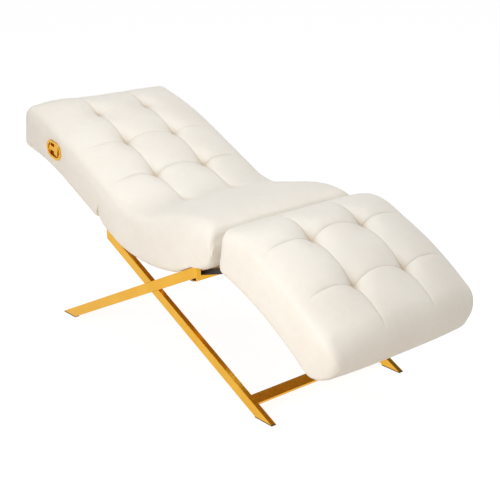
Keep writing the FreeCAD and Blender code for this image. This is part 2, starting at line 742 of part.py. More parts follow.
# hinges: plates with an eye, screwed to the rails, on stepped pivot pins
def cross_rod(name, radius, x, z, y_from, y_to):
    low = min(y_from, y_to)
    return at(rod(name, radius, "%.3f" % abs(y_to - y_from)), x, low, z, -90, (1, 0, 0))


def eye_plate(name, sign, points, centre, inner_y, thick, play):
    outer_y = inner_y + number(thick)
    web = at(plate(name + "_web", points, thick), 0, sign * (inner_y + outer_y) / 2, 0)
    eye = cross_rod(name + "_eye", "sizes.hinge_eye", *centre, sign * inner_y, sign * outer_y)
    hole_ends = (sign * (inner_y - 1), sign * (outer_y + 1))
    hole = cross_rod(name + "_hole", "sizes.pin_radius" + play, *centre, *hole_ends)
    return fuse(name + "_solid", web, eye), hole


def stepped_pin(name, sign, centre, inner_y, middle_y, outer_y):
    # shank through both plates, with a head clear of the inner one and a head on the outer one
    head = size["pin_head"]
    clear = 0.4
    steps = [("sizes.pin_head_radius", inner_y - clear - head, inner_y - clear),
             ("sizes.pin_radius", inner_y - clear, outer_y),
             ("sizes.pin_head_radius", outer_y, outer_y + head)]
    rods = [cross_rod("%s_step_%d" % (name, i), radius, *centre, sign * low, sign * high)
            for i, (radius, low, high) in enumerate(steps)]
    return fuse(name, *rods)


play = " + sizes.pin_play"
plate_in = size["seat_rail_y"]
plate_mid = plate_in + size["hinge_plate"] + size["hinge_gap"]
plate_out = plate_mid + size["hinge_plate"]
centre = (pivot.x, pivot.z)
seat_points = [(-9, 27), (-70, 118), (-110, 128), (-112, 152), (-62, 158), (9, 45)]
back_points = [(-9, 45), (9, 27), (60, 108), (104, 116), (104, 150), (40, 150)]


def seat_hinge_plate(name, sign):
    points = [by_split(*point) for point in seat_points]
    return keep(name, cut(name, *eye_plate(name, sign, points, centre, plate_in, "sizes.hinge_plate", play)))


def back_hinge_plate(name, sign):
    points = [by_split(*point) for point in back_points]
    return keep(name, cut(name, *eye_plate(name, sign, points, centre, plate_mid, "sizes.hinge_plate", "")))


both_sides("seat_hinge_plate", seat_hinge_plate)
both_sides("back_hinge_plate", back_hinge_plate)
keep("back_hinge_pins", group("back_hinge_pins", [
    stepped_pin("back_hinge_pin", sign, centre, plate_in, plate_mid, plate_out) for sign in (-1, 1)]))

# leg rest hinge: bent brackets on the front seat bar carry the leg rest's plates
leg_centre = (size["leg_pivot_x"], size["leg_pivot_z"])
bar_front, bar_top = size["seat_bar_x"], size["seat_bar_z"] + size["tube_width"]
flange = 4
bracket_in = size["seat_rail_y"] - size["bracket_thick"]


def leg_bracket(name, sign):
    lx, lz = leg_centre
    points = [(bar_front, bar_top), (bar_front, bar_top + 6), (bar_front + 30, bar_top + 13),
              (lx - 5, lz + 12),
              (lx + 5, lz - 12), (bar_front + 42, bar_top)]
    solid, hole = eye_plate(name, sign, points, leg_centre, bracket_in, "sizes.bracket_thick", play)
    foot = box(name + "_foot", "sizes.seat_bar_depth", "sizes.bracket_thick + 34", "%d" % flange)
    low_y = bracket_in - 34 if sign > 0 else -bracket_in - size["bracket_thick"]
    at(foot, bar_front, low_y, bar_top)
    return keep(name, cut(name, fuse(name + "_bent", solid, foot), hole))


def leg_hinge_plate(name, sign):
    lx, lz = leg_centre
    points = [(lx - 6, lz + 11), (480, 512), (545, 496), (540, 464), (492, 476), (lx + 3, lz - 12)]
    inner = size["seat_rail_y"] + size["hinge_gap"]
    return keep(name, cut(name, *eye_plate(name, sign, points, leg_centre, inner, "sizes.hinge_plate", "")))


both_sides("leg_bracket", leg_bracket)
both_sides("leg_hinge_plate", leg_hinge_plate)
leg_plate_out = size["seat_rail_y"] + size["hinge_gap"] + size["hinge_plate"]
keep("leg_hinge_pins", group("leg_hinge_pins", [
    stepped_pin("leg_hinge_pin", sign, leg_centre, bracket_in, plate_in, leg_plate_out) for sign in (-1, 1)]))

# seat mounting blocks between the seat bars and the round underside, and their bolts
blocks, bolts = [], []
hull_centre = size["hull_z"] + size["hull_arc"]
for end in (-1, 1):
    bar_x = end * (size["seat_bar_x"] + size["seat_bar_depth"] / 2)
    for sign in (-1, 1):
        block = box("block_blank", "sizes.block_length", "sizes.block_width", "60")
        at(block, bar_x - size["block_length"] / 2, sign * size["bolt_y"] - size["block_width"] / 2, bar_top)
        hull = at(rod("block_hull", "sizes.hull_arc", "sizes.block_width + 2"), size["hull_x"],
                  sign * size["bolt_y"] - size["block_width"] / 2 - 1, hull_centre, -90, (1, 0, 0))
        blocks.append(cut("mount_block", block, hull))
        under = size["seat_bar_z"] - size["bolt_head_height"]
        head = at(rod("bolt_head", "sizes.bolt_head_radius", "sizes.bolt_head_height"),
                  bar_x, sign * size["bolt_y"], under)
        shank = at(rod("bolt_shank", "sizes.bolt_radius", "52"), bar_x, sign * size["bolt_y"], under + 1)
        bolts.append(fuse("seat_bolt", head, shank))
for sign in (-1, 1):
    for x in (bar_front + 9, bar_front + size["seat_bar_depth"] - 9):
        screw_y = sign * (bracket_in - 17)
        head = at(rod("screw_head", "sizes.bolt_head_radius", "3"), x, screw_y, bar_top + flange)
        shank = at(rod("screw_shank", "sizes.bolt_radius", "12"), x, screw_y, bar_top + flange - 11)
        bolts.append(fuse("bracket_screw", head, shank))
keep("seat_mount_blocks", group("seat_mount_blocks", blocks))
keep("frame_bolts", group("frame_bolts", bolts))

# lockable gas spring between the seat's middle rail and the backrest's lower rail
strut_seat = (size["strut_seat_x"], size["strut_seat_z"])
strut_back = by_split(size["strut_back_run"], size["strut_back_depth"])
strut_length = math.dist(strut_seat, strut_back)
strut_angle = math.degrees(math.atan2(strut_back[1] - strut_seat[1], strut_back[0] - strut_seat[0]))


def local_place(origin, angle):
    # frame whose x points along an angle measured from +X towards +Z
    turn = FreeCAD.Rotation(Vector(0, 1, 0), -angle)
    return FreeCAD.Placement(Vector(origin[0] + size["frame_x"], 0, origin[1]), turn)


along_x = FreeCAD.Rotation(Vector(0, 1, 0), 90)


def within(frame_place, piece, x, y, z, spin=FreeCAD.Rotation()):
    piece.Placement = frame_place.multiply(FreeCAD.Placement(Vector(x, y, z), spin))
    return piece


ear_in = size["eye_width"] / 2 + 0.6


def clevis(name, origin, angle, reach, base_low, base_high):
    place = local_place(origin, angle)
    ear = size["ear_thick"]
    solids = []
    for low in (ear_in, -ear_in - ear):
        arm = box(name + "_ear", "%.3f" % reach, "sizes.ear_thick", "2 * sizes.strut_eye")
        solids.append(within(place, arm, 0, low, -size["strut_eye"]))
        ear_end = rod(name + "_end", "sizes.strut_eye", "sizes.ear_thick")
        solids.append(within(place, ear_end, 0, low, 0, along_y))
    base_width = 2 * (ear_in + ear) + 16
    base = box(name + "_base", "sizes.ear_thick", "%.3f" % base_width, "%.3f" % (base_high - base_low))
    solids.append(within(place, base, reach - ear, -base_width / 2, base_low))
    hole = within(place, rod(name + "_hole", "sizes.strut_pin", "80"), 0, -40, 0, along_y)
    return keep(name, cut(name, fuse(name + "_solid", *solids), hole))


def clevis_pin(name, origin):
    reach = ear_in + size["ear_thick"]
    shank = cross_rod(name + "_shank", "sizes.strut_pin", *origin, -reach, reach + 0.2)
    head = cross_rod(name + "_head", "sizes.strut_pin + 2", *origin, -reach - 2, -reach)
    return keep(name, fuse(name, shank, head))


rail_foot = seat_low.point(seat_at(-95), board)
rail_lean = math.degrees(math.asin((seat_low.point(seat_at(-95))[0] - size["hull_x"]) / size["hull_arc"]))
rail_way = (math.cos(math.radians(rail_lean)), math.sin(math.radians(rail_lean)))
seat_reach = sum((foot - spot) * way for foot, spot, way in zip(rail_foot, strut_seat, rail_way))
clevis("gas_lower_clevis", strut_seat, rail_lean, seat_reach - 0.1, -30, 6)
clevis_pin("gas_lower_pin", strut_seat)
lower_rail_run = 95
upper_reach = lower_rail_run - size["strut_back_run"]
clevis("gas_upper_clevis", strut_back, 180 - size["back_slope"], upper_reach, -8, 30)
clevis_pin("gas_upper_pin", strut_back)

strut_place = local_place(strut_seat, strut_angle)


def along_strut(name, radius, start, length):
    return within(strut_place, rod(name, radius, length), start, 0, 0, along_x)


def across_strut(name, radius, start, width):
    return within(strut_place, rod(name, radius, width), start, -number(width) / 2, 0, along_y)


barrel_start = 14
guide = 6
barrel_run = "sizes.strut_barrel - %d" % barrel_start
bore_run = "sizes.strut_barrel - %d" % (barrel_start + 2 * guide)
eye = across_strut("strut_eye_rod", "sizes.strut_eye", 0, "sizes.eye_width")
neck = along_strut("strut_neck", "sizes.strut_eye - 3", 4, "%d" % barrel_start)
tube = along_strut("strut_tube", "sizes.strut_radius", barrel_start, barrel_run)
tube_bore = along_strut("strut_bore", "sizes.strut_radius - sizes.strut_wall", barrel_start + guide, bore_run)
rod_bore = along_strut("strut_rod_bore", "sizes.strut_rod + sizes.pin_play", size["strut_barrel"] - 20, "40")
pin_bore = across_strut("strut_pin_bore", "sizes.strut_pin + sizes.pin_play", 0, "40")
hollows = fuse("strut_hollows", tube_bore, rod_bore, pin_bore)
keep("gas_cylinder", cut("gas_cylinder", fuse("strut_solid", eye, neck, tube), hollows))

# the rod ends in a slotted eye, which leaves its pin free to float a little
piston_start = 112
piston_long = 8
shaft_start = piston_start + piston_long - 1
shaft_run = strut_length - shaft_start - 9
piston = along_strut("strut_piston", "sizes.strut_radius - sizes.strut_wall - sizes.pin_play",
                     piston_start, "%d" % piston_long)
shaft = along_strut("strut_shaft", "sizes.strut_rod", shaft_start, "%.3f" % shaft_run)


def slot(name, radius, width):
    reach = size["slot_play"]
    ends = [across_strut(name + "_end", radius, strut_length + x, width) for x in (-reach, reach)]
    middle = box(name + "_middle", "2 * sizes.slot_play", width, "2 * (%s)" % radius)
    within(strut_place, middle, strut_length - reach, -number(width) / 2, -number(radius))
    return fuse(name, middle, *ends)


rod_eye = slot("rod_eye", "sizes.strut_eye + 0.5", "sizes.eye_width")
rod_slot = slot("rod_slot", "sizes.strut_pin + sizes.slot_slack", "sizes.eye_width + 2")
keep("gas_rod", cut("gas_rod", fuse("rod_solid", piston, shaft, rod_eye), rod_slot))

# valve lever beside the upper clevis, worked by a cable from the paddle
lever_y = ear_in + size["ear_thick"] + 0.6
lever_centre = by_split(84, 122)
lever_points = [by_split(*point) for point in ((79, 127), (89, 127), (89, 98), (82, 96),
                                               (78, 111), (64, 111), (64, 116), (78, 119))]
lever_thick = 3
lever_out = lever_y + lever_thick + 0.5
lever_web = at(plate("lever_web", lever_points, "%d" % lever_thick), 0, lever_y + lever_thick / 2, 0)
lever_hole = cross_rod("lever_hole", "sizes.paddle_pin + sizes.pin_play", *lever_centre,
                       lever_y - 1, lever_out + 0.5)
keep("valve_lever", cut("valve_lever", lever_web, lever_hole))
lever_shank = cross_rod("lever_shank", "sizes.paddle_pin", *lever_centre, ear_in + 1, lever_out)
lever_head = cross_rod("lever_head", "sizes.paddle_pin + 2", *lever_centre, lever_out, lever_out + 1.5)
keep("valve_lever_pin", fuse("valve_lever_pin", lever_shank, lever_head))


def rounded_route(points, radius):
    # straight runs joined by arcs
    edges, start = [], points[0]
    for before, here, after in zip(points, points[1:], points[2:]):
        back_dir = (before - here).normalize()
        next_dir = (after - here).normalize()
        half = back_dir.getAngle(next_dir) / 2
        leave = here + back_dir * (radius / math.tan(half))
        join = here + next_dir * (radius / math.tan(half))
        inward = (back_dir + next_dir).normalize()
        middle = here + inward * (radius / math.sin(half) - radius)
        edges += [Part.LineSegment(start, leave).toShape(), Part.Arc(leave, middle, join).toShape()]
        start = join
    return Part.Wire(edges + [Part.LineSegment(start, points[-1]).toShape()])


def in_back(run, lift, y):
    x, z = back_low.point(run, lift, -1)
    return Vector(x, y, z)


tilt = math.radians(size["handle_tilt"])
cable_drop = 42
cable_start = Vector(size["handle_x"] - cable_drop * math.sin(tilt), cup_back + size["cup_wall"] + 0.1,
                     size["handle_z"] - cable_drop * math.cos(tilt))
lever_tip = by_split(97, 100)
cable_y = lever_y + lever_thick / 2
turn_in = Vector(cable_start.x, -190, cable_start.z)
turn_out = in_back(185, 20, cable_y)
route_points = [cable_start, turn_in, turn_out, Vector(lever_tip[0], cable_y, lever_tip[1])]
route = rounded_route(route_points, 45)
ring = Part.Wire(Part.makeCircle(size["cable_radius"], cable_start, Vector(0, 1, 0)))
shaped("release_cable", route.makePipeShell([ring], True, False))
rail_node = nodes["back_rail_right"]
passage_start = Vector(cable_start.x + size["frame_x"], -290, cable_start.z)
passage = Part.makeCylinder(size["cable_radius"] + 2, 60, passage_start, Vector(0, 1, 0))
rail_node.Shape = rail_node.Shape.cut(passage)

clips = []
for share in (0.35, 0.7):
    spot = turn_in + (turn_out - turn_in) * share
    run = run_at_x(back_low, spot.x)
    foot = in_back(run, board + 0.05, spot.y)
    slope = math.degrees(math.atan2(back_low.point(run + 1)[1] - back_low.point(run - 1)[1],
                                    back_low.point(run - 1)[0] - back_low.point(run + 1)[0]))
    height = (spot - foot).Length + 6
    clip = Part.makeBox(12, 14, height, Vector(-6, -7, 0))
    clip.Placement = FreeCAD.Placement(foot, FreeCAD.Rotation(Vector(0, 1, 0), slope))
    hole = Part.makeCylinder(size["cable_radius"] + 0.1, 80, spot - (turn_out - turn_in).normalize() * 40,
                             turn_out - turn_in)
    clips.append(clip.cut(hole))
shaped("cable_clips", Part.makeCompound(clips))

# check and write every piece
doc.recompute()
for piece in doc.Objects:
    if "Invalid" in piece.State or "Error" in piece.State:
        raise RuntimeError("%s is not built" % piece.Label)
os.makedirs("parts", exist_ok=True)
for label, piece in nodes.items():
    if piece.Shape.isNull() or not piece.Shape.isValid():
        raise RuntimeError("%s has no valid shape" % label)
    piece.Shape.exportStep("parts/%s.step" % label)
print("%d pieces written" % len(nodes))
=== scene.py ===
import json
import math

import bmesh
import bpy
from mathutils import Matrix, Vector
from mathutils.kdtree import KDTree


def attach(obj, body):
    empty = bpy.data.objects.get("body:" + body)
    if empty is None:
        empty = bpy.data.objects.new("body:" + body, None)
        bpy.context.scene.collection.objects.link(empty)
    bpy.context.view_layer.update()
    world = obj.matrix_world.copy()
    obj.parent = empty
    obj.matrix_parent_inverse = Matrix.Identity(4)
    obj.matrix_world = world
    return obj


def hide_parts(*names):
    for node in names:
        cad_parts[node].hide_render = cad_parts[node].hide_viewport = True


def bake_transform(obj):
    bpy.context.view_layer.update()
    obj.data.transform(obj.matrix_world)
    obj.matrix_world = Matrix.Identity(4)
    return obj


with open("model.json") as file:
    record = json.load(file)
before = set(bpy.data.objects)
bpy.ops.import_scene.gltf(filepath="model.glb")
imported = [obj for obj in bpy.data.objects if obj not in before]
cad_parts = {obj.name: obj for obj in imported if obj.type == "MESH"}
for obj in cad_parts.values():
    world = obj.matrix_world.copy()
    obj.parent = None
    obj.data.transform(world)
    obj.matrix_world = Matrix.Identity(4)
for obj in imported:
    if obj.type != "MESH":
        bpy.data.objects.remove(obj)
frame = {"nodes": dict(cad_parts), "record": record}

scene = bpy.context.scene
scene.view_settings.view_transform = "Standard"
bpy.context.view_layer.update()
nodes = frame["nodes"]
mm = 0.001
frameX = -73  # the crossing of the legs, from the middle of the chair; the lines below start there


def place(x, y, z):
    return Vector(((x + frameX) * mm, y * mm, z * mm))


def linear(red, green, blue):
    # a colour as it is seen, 0 to 255, in the renderer's own scale
    return tuple(((c / 255 + 0.055) / 1.055) ** 2.4 for c in (red, green, blue)) + (1.0,)


def smooth(low, high, value):
    share = min(1.0, max(0.0, (value - low) / (high - low)))
    return share * share * (3 - 2 * share)


# Shader maths as expressions

class Wire:
    def __init__(self, finish, socket):
        self.finish = finish
        self.socket = socket

    def math(self, operation, a, b=0.0):
        return self.finish.node("Math", {"operation": operation}, {0: a, 1: b})

    def __add__(self, other):
        return self.math("ADD", self, other)

    def __sub__(self, other):
        return self.math("SUBTRACT", self, other)

    def __rsub__(self, other):
        return self.math("SUBTRACT", other, self)

    def __mul__(self, other):
        return self.math("MULTIPLY", self, other)

    def __abs__(self):
        return self.math("ABSOLUTE", self)

    def most(self, other):
        return self.math("MAXIMUM", self, other)

    def sine(self):
        return self.math("SINE", self)

    def ramp(self, low, high, start=0.0, end=1.0):
        ends = {"Value": self, "From Min": low, "From Max": high, "To Min": start, "To Max": end}
        return self.finish.node("MapRange", {"interpolation_type": "SMOOTHSTEP"}, ends)

    __radd__ = __add__
    __rmul__ = __mul__


class Finish:
    def __init__(self, owner):
        owner.use_nodes = True
        self.tree = owner.node_tree
        self.tree.nodes.clear()

    def node(self, kind, settings=None, sockets=None, out=0):
        made = self.tree.nodes.new("ShaderNode" + kind)
        for key, value in (settings or {}).items():
            setattr(made, key, value)
        for key, value in (sockets or {}).items():
            if isinstance(value, Wire):
                self.tree.links.new(value.socket, made.inputs[key])
            else:
                made.inputs[key].default_value = value
        return Wire(self, made.outputs[out]) if made.outputs else None

    def spot(self):
        return self.node("TexCoord", out="Object")

    def stretched(self, scale, turn=(0, 0, 0)):
        return self.node("Mapping", None, {"Vector": self.spot(), "Scale": scale, "Rotation": turn})

    def noise(self, where, scale, detail=3.0, roughness=0.55):
        inputs = {"Vector": where, "Scale": scale, "Detail": detail, "Roughness": roughness}
        return self.node("TexNoise", None, inputs, "Fac")

    def cells(self, where, scale, feature="F1"):
        return self.node("TexVoronoi", {"feature": feature}, {"Vector": where, "Scale": scale}, "Distance")

    def attribute(self, name):
        return self.node("Attribute", {"attribute_name": name}, out="Fac")

    def mix(self, share, first, second):
        return self.node("Mix", {"data_type": "RGBA"}, {0: share, 6: first, 7: second}, 2)

    def bump(self, height, distance, strength=1.0):
        inputs = {"Height": height, "Distance": distance, "Strength": strength}
        return self.node("Bump", None, inputs, "Normal")

    def surface(self, **sockets):
        named = {key.replace("_", " "): value for key, value in sockets.items()}
        shader = self.node("BsdfPrincipled", None, named)
        self.node("OutputMaterial", None, {"Surface": shader})


def newMaterial(name):
    material = bpy.data.materials.new(name)
    return material, Finish(material)


# Finishes

leather = {
    # in this row, the third colour is painted shade for the tufts, the seams and the nick under the hinge,
    # and the fourth is painted shade in the seam lines
    "pale": (239, 232, 221), "paler": (243, 238, 228), "drawn": (212, 195, 170), "seamShade": (205, 190, 168),
    "seam": (0.0004, 0.0022), "pucker": (0.001, 0.014), "puckerWave": 690, "waver": 40, "waverBy": 5,
    "grain": 760, "fineGrain": 1500, "broad": 5.5, "mottle": 46, "rough": (0.44, 0.56), "relief": 0.0011,
}


def ivoryLeather(name, cover):
    material, f = newMaterial(name)
    spot = f.spot()
    along = f.attribute("along")
    across = abs(f.attribute("across"))
    creaseShade = f.attribute("creaseShade")

    # the sewn lines, and the puckers where the thread draws the cover in beside them; the sewn lines also
    # carry painted shade in the base colour below
    rowHold = across.ramp(cover["rowFade"][0] * mm, cover["rowFade"][1] * mm, 1.0, 0.0)
    first, last = (run * mm for run in cover["columnRuns"])
    fadeIn, fadeOut = (run * mm for run in cover["columnFades"])
    columnHold = along.ramp(first - fadeIn, first) * along.ramp(last - fadeOut, last, 1.0, 0.0)
    columnGap = abs(across - cover["column"] * mm)
    seam = columnGap.ramp(*leather["seam"], 1.0, 0.0) * columnHold
    wavy = f.noise(spot, leather["waver"]) * leather["waverBy"]
    columnRipple = (along * leather["puckerWave"] + wavy).sine() * columnHold
    rowRipple = (across * leather["puckerWave"] + wavy).sine() * rowHold
    ripple = columnRipple * columnGap.ramp(*leather["pucker"], 1.0, 0.0)
    for row in cover["rows"]:
        gap = abs(along - row["run"] * mm)
        seam = seam.most(gap.ramp(*leather["seam"], row["line"], 0.0) * rowHold)
        ripple = ripple + rowRipple * gap.ramp(*leather["pucker"], row["line"], 0.0)

    pebble = f.cells(spot, leather["grain"], "SMOOTH_F1") + f.noise(spot, leather["fineGrain"], 2) * 0.35
    tone = f.noise(spot, leather["broad"], 4) * 0.6 + f.noise(spot, leather["mottle"], 5) * 0.4
    pale = f.mix(tone.ramp(0.3, 0.7), linear(*leather["pale"]), linear(*leather["paler"]))
    # painted shade: the leather darkens towards a shaded colour where tufts and seams draw the cover in, and
    # in the nick under the hinge
    drawn = f.mix(creaseShade.ramp(0.15, 1.0) * 0.8, pale, linear(*leather["drawn"]))
    height = pebble * 0.16 + ripple * 0.5 - seam
    f.surface(
        # painted shade: the seam lines darkened as if in the shadow of their grooves
        Base_Color=f.mix(seam * 0.35, drawn, linear(*leather["seamShade"])),
        Roughness=tone.ramp(0.25, 0.75, *leather["rough"]) + seam * 0.1,
        Normal=f.bump(height, leather["relief"], 0.7),
        Specular_IOR_Level=0.38,
        Sheen_Weight=0.08,
        Sheen_Roughness=0.5,
    )
    return material


gold = {
    "deep": (236, 176, 54), "light": (242, 185, 64), "worn": (214, 158, 48),
    "haze": 9, "polish": (60, 900, 60), "polishTurn": (0, 0.6, 0), "marks": (220, 24, 220),
    "rough": (0.17, 0.25), "relief": 0.00012,
}


def goldPlate():
    material, f = newMaterial("polished gold plate")
    spot = f.spot()
    haze = f.noise(spot, gold["haze"], 4)
    polish = f.noise(f.stretched(gold["polish"], gold["polishTurn"]), 1.0, 3)
    marks = f.noise(f.stretched(gold["marks"]), 1.0, 2).ramp(0.66, 0.74)
    tone = f.mix(haze.ramp(0.3, 0.7), linear(*gold["deep"]), linear(*gold["light"]))
    f.surface(
        Base_Color=f.mix(marks * 0.25, tone, linear(*gold["worn"])),
        Metallic=1.0,
        Roughness=haze.ramp(0.25, 0.75, *gold["rough"]) + polish * 0.05 + marks * 0.06,
        Normal=f.bump(polish * 0.5 + haze, gold["relief"], 0.35),
    )
    return material


wood = {
    "dark": (196, 160, 116), "light": (214, 182, 138), "pore": (148, 110, 72),
    "grain": (2.2, 26, 26), "rings": (1.1, 8, 8), "pores": (40, 900, 900),
    "rough": (0.62, 0.78), "relief": 0.0004,
}


def plainWood():
    material, f = newMaterial("plain plywood")
    grain = f.noise(f.stretched(wood["grain"]), 1.6, 6, 0.6)
    rings = f.noise(f.stretched(wood["rings"]), 2.0, 2)
    lines = (rings * 60 + grain * 5).sine()
    pores = f.noise(f.stretched(wood["pores"]), 1.0, 2).ramp(0.6, 0.72)
    tone = f.mix(lines.ramp(-1.0, 1.0), linear(*wood["dark"]), linear(*wood["light"]))
    f.surface(
        Base_Color=f.mix(pores * 0.5, tone, linear(*wood["pore"])),
        Roughness=grain.ramp(0.3, 0.7, *wood["rough"]),
        Normal=f.bump(grain - pores * 0.6, wood["relief"], 0.6),
    )
    return material


coat = {"black": (34, 34, 36), "rubbed": (62, 61, 60), "peel": 620, "rough": 0.48, "relief": 0.0002}


def powderCoat():
    material, f = newMaterial("black powder coat")
    spot = f.spot()
    peel = f.cells(spot, coat["peel"], "SMOOTH_F1") + f.noise(spot, 260, 3)
    rub = f.noise(spot, 34, 5).ramp(0.62, 0.8)
    f.surface(
        Base_Color=f.mix(rub * 0.35, linear(*coat["black"]), linear(*coat["rubbed"])),
        Roughness=coat["rough"] + rub * 0.14,
        Normal=f.bump(peel, coat["relief"], 0.6),
        Specular_IOR_Level=0.45,
    )
    return material


zinc = {
    "dull": (188, 191, 196), "bright": (214, 215, 217), "spangle": 190, "turned": (40, 1400, 40),
    "rough": (0.24, 0.36), "relief": 0.0001,
}


def zincPlate():
    material, f = newMaterial("bright zinc plate")
    spot = f.spot()
    spangle = f.cells(spot, zinc["spangle"])
    turned = f.noise(f.stretched(zinc["turned"]), 1.0, 2)
    f.surface(
        Base_Color=f.mix(spangle.ramp(0.0, 0.8), linear(*zinc["dull"]), linear(*zinc["bright"])),
        Metallic=1.0,
        Roughness=turned.ramp(0.3, 0.7, *zinc["rough"]),
        Normal=f.bump(turned, zinc["relief"], 0.4),
    )
    return material


plastic = {"black": (26, 26, 27), "dusty": (52, 51, 50), "spark": 1100, "rough": 0.5, "relief": 0.00015}


def mouldedPlastic():
    material, f = newMaterial("black moulded plastic")
    spot = f.spot()
    spark = f.cells(spot, plastic["spark"]) + f.noise(spot, 420, 2)
    dust = f.noise(spot, 60, 4).ramp(0.55, 0.8)
    f.surface(
        Base_Color=f.mix(dust * 0.3, linear(*plastic["black"]), linear(*plastic["dusty"])),
        Roughness=plastic["rough"] + dust * 0.15,
        Normal=f.bump(spark, plastic["relief"], 0.5),
        Specular_IOR_Level=0.4,
    )
    return material


finishes = {
    "gold": goldPlate(),
    "wood": plainWood(),
    "dark_steel": powderCoat(),
    "bright_steel": zincPlate(),
    "dark_plastic": mouldedPlastic(),
}
slotOf = {part["node"]: part["material_slot"] for part in frame["record"]["subparts"]}


def dress(piece, slotName):
    piece.data.materials.clear()
    piece.data.materials.append(finishes[slotName])


eased = {"merge": 0.02, "corner": 30, "width": 1.2, "segments": 2}


def easeEdges(piece):
    # sharp edges of the tube and plate, rounded a little
    weld = piece.modifiers.new("merged", "WELD")
    weld.merge_threshold = eased["merge"] * mm
    bevel = piece.modifiers.new("eased", "BEVEL")
    bevel.limit_method = "ANGLE"
    bevel.angle_limit = math.radians(eased["corner"])
    bevel.width = eased["width"] * mm
    bevel.segments = eased["segments"]


for nodeName, node in nodes.items():
    if slotOf[nodeName] in finishes:
        dress(node, slotOf[nodeName])
    if slotOf[nodeName] == "gold":
        easeEdges(node)
dress(nodes["paddle_pin"], "gold")  # plated with the handle it sits in
print("finishes on", len(nodes), "nodes")


# Covers: sections along a line of runs and bends, closed round the foam

def walk(line, run):
    # the point on the line, and the heading there
    x, z = line["start"]
    heading = math.radians(line["heading"])
    for number, (length, turn) in enumerate(line["runs"]):
        step = run if run < length or number == len(line["runs"]) - 1 else length
        if turn:
            radius = length / math.radians(turn)
            later = heading + step / radius
            x += radius * (math.sin(later) - math.sin(heading))
            z -= radius * (math.cos(later) - math.cos(heading))
            heading = later
        else:
            x += step * math.cos(heading)
            z += step * math.sin(heading)
        run -= step
        if run <= 0:
            break
    return Vector((x, z)), heading


def between(points, run):
    # straight from one listed place to the next
    for (start, first), (end, last) in zip(points, points[1:]):
        if run <= end:
            return Vector(first).lerp(Vector(last), (run - start) / (end - start))
    return Vector(points[-1][1])


shape = {
    "halfWidth": 335, "lowRadius": 30,
    "crown": 25, "crownPower": 2.8, "underLift": 3, "underHalf": 283,
    "cornerSteps": 5, "sideSteps": 7, "endSteps": 6, "endPuff": 4, "endSqueezes": (0.75, 0.5, 0.25, 0),
    "heldBelow": 0.6, "weld": 0.4,  # end rings squeezed below this are pinned, points this close are merged
    "finest": (0, 3.5, 9, 18, 32, 52, 78), "coarser": (0, 13, 28, 46, 66), "spacing": 20, "least": 3,
}
quilt = {
    "columnReach": 50, "rowReach": 30, "power": 2, "groove": 2.6, "grooveReach": 11, "groovePower": 1.5,
    "tuftLong": 30, "tuftWide": 22, "headward": 1.6, "bow": 22, "outerBow": 0.7, "bowReach": 75,
    "deepest": 30, "sewn": 0.55,
}

mainCover = {
    "name": "back_and_seat_cover",
    "backTop": {"start": (-249, 645), "heading": 154.7, "runs": [(222, 0), (390.3, 17.2)]},
    "seatTop": {
        "start": (-249, 645), "heading": -25.3,
        "runs": [(109, 0), (169.3, 37.3), (189, 0), (157.6, -21), (80, 0)],
    },
    "thickness": 172, "topRadius": 31, "topReach": 36, "softer": {"runs": (60, 330), "by": 14},
    "hullCentre": (25, 1129), "hullRadius": 740, "hullFrom": -318, "hullTo": 410,
    "seatFront": 418, "headEnd": -612.3, "seatEnd": 670,
    "headRound": {"top": 52, "low": 24, "side": 36}, "frontRound": {"top": 32, "low": 16, "side": 9},
    "crownFades": ((-620, -450), (280, 670)),
    # the head's near corner is stuffed fuller
    "plump": {"run": -550, "y": -215, "rise": 15, "reach": (95, 125)},
    # the nick under the hinge, as places along the top and the cover's edge below them
    "seatLip": [(0, (-305.4, 525.7)), (4, (-306, 508)), (10, (-304.5, 494)), (20, (-298, 485.5)),
                (34, (-286, 474)), (50, (-271, 460))],
    "backLip": [(0, (-305.4, 525.7)), (4, (-314.5, 507)), (9, (-324, 492.5)), (16, (-332.5, 494.3)),
                (30, (-346, 500.6))],
    "lipEase": 16, "nick": {"reach": 5, "share": 0.25},
    "rows": [
        {"run": -396, "depth": 0.3, "tuft": 24, "line": 0.1},
        {"run": -189, "depth": 1.8, "tuft": 26, "line": 0.6},
        {"run": 25, "depth": 2.8, "tuft": 26, "line": 1.0},
        {"run": 231, "depth": 0.0, "tuft": 21, "line": 0.0},
    ],
    "rowFade": (225, 325), "column": 112, "columnDepth": 1.8,
    "columnRuns": (-640, 262), "columnFades": (30, 90),
    # the cover lies calm in the hollow of the seat
    "calm": {"run": 225, "reach": 70},
}

legCover = {
    "name": "leg_cover",
    "legTop": {"start": (432, 625), "heading": 17, "runs": [(178.9, -41), (103, 0), (286.2, -16.4)]},
    "hullCentre": (94.9, -673.1), "hullRadius": 1200, "hullFrom": 432, "hullTo": 852, "legEnd": 568,
    "rearRound": {"top": 11, "low": 26, "side": 30}, "crownFades": ((0, 210), (900, 1000)),
    "topRadius": 32, "topReach": 38,
    "noseSteps": 10, "noseInset": 56, "noseDraw": 0.1,
    # the knee's upper corners are drawn away from the seat
    "rake": {"by": 22, "fade": 130, "power": 6},
    "rows": [
        {"run": 229, "depth": 1.6, "tuft": 27, "line": 1.0},
        {"run": 448, "depth": 1.6, "tuft": 27, "line": 1.0},
    ],
    "rowFade": (225, 325), "column": 112, "columnDepth": 1.1,
    "columnRuns": (90, 655), "columnFades": (90, 90),
}


def hullAt(cover, x, up):
    centreX, centreZ = cover["hullCentre"]
    rise = math.sqrt(cover["hullRadius"] ** 2 - (x - centreX) ** 2)
    return Vector((x, centreZ + up * rise))


